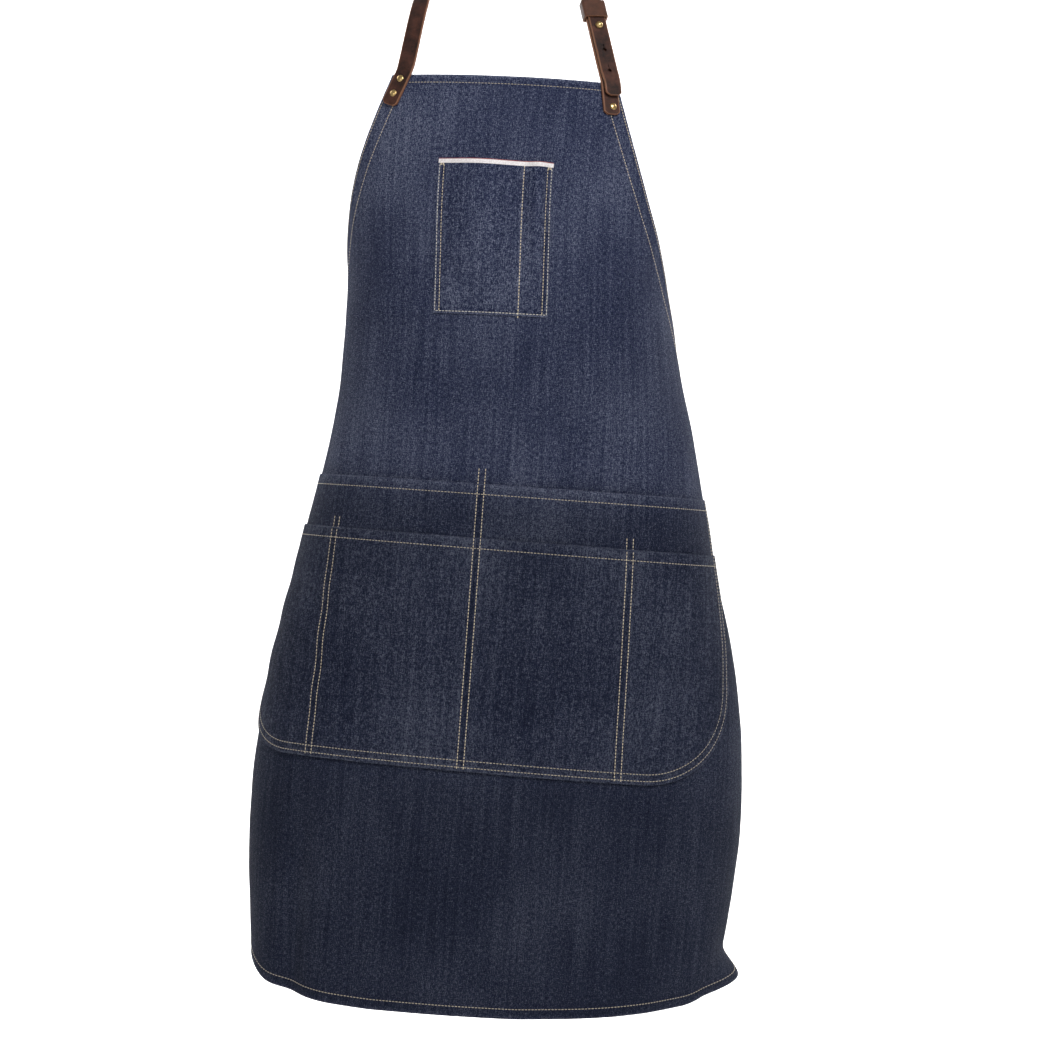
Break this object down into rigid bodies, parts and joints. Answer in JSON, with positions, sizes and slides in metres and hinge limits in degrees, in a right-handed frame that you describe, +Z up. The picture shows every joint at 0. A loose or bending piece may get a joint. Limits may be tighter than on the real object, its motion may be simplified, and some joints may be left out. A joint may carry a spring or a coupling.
{
  "type": "bib apron",
  "caption": "Denim bib apron in its worn shape, with a divided waist pocket, a chest pocket with a pen slot, and leather neck and waist straps on brass studs.",
  "frame": {"origin": "the point of the neck strap's inner face that rests on the nape of the neck", "axes": "+Z up, -Y the side the apron faces, +X towards the wearer's left"},
  "size_m": [0.4893, 0.2569, 1.0489],
  "materials": {
    "denim": "matte indigo denim, slubby twill",
    "pocket_denim": "matte indigo denim, slubby twill",
    "facing_denim": "paler back of the denim",
    "strap_leather": "dark brown, waxed",
    "brass": "antiqued"
  },
  "bodies": {
    "apron": {"body_panel": "denim", "armhole_facing_right": "facing_denim", "armhole_facing_left": "facing_denim", "chest_pocket": "pocket_denim", "waist_pocket_back": "pocket_denim", "waist_pocket_front": "pocket_denim", "neck_strap_end": "strap_leather", "neck_tab_end": "strap_leather", "neck_strap_tail": "strap_leather", "neck_strap_rivet_heads": "brass", "neck_strap_rivet_posts": "brass", "neck_tab_rivet_heads": "brass", "neck_tab_rivet_posts": "brass", "neck_strap_bend": "strap_leather", "neck_tab_bend": "strap_leather", "neck_tail_bend": "strap_leather", "waist_tab": "strap_leather", "waist_strap": "strap_leather", "waist_strap_rivet_heads": "brass", "waist_strap_rivet_posts": "brass", "waist_tab_rivet_heads": "brass", "waist_tab_rivet_posts": "brass", "waist_stud": "brass", "waist_stud_screw": "brass"},
    "neck_loop": {"neck_strap": "strap_leather", "neck_tab": "strap_leather", "neck_stud": "brass", "neck_stud_screw": "brass"},
    "neck_keeper": {"neck_keeper": "strap_leather"},
    "waist_keeper": {"waist_keeper": "strap_leather"}
  },
  "joints": [
    {"name": "neck_loop_fold", "type": "hinge", "parent": "apron", "child": "neck_loop", "pos_m": [0.00242, -0.14662, -0.12776], "axis": [0.9988, 0.011, -0.0482], "range_deg": [-60, 90], "deforming": ["neck_strap_bend", "neck_tab_bend", "neck_tail_bend"]},
    {"name": "neck_keeper_slide", "type": "slide", "parent": "neck_loop", "child": "neck_keeper", "axis": [-0.1776, 0.4621, 0.8689], "range_m": [-0.0055, 0.014]},
    {"name": "waist_keeper_slide", "type": "slide", "parent": "apron", "child": "waist_keeper", "axis": [-0.994, 0.0896, 0.0627], "range_m": [-0.008, 0.005]}
  ]
}
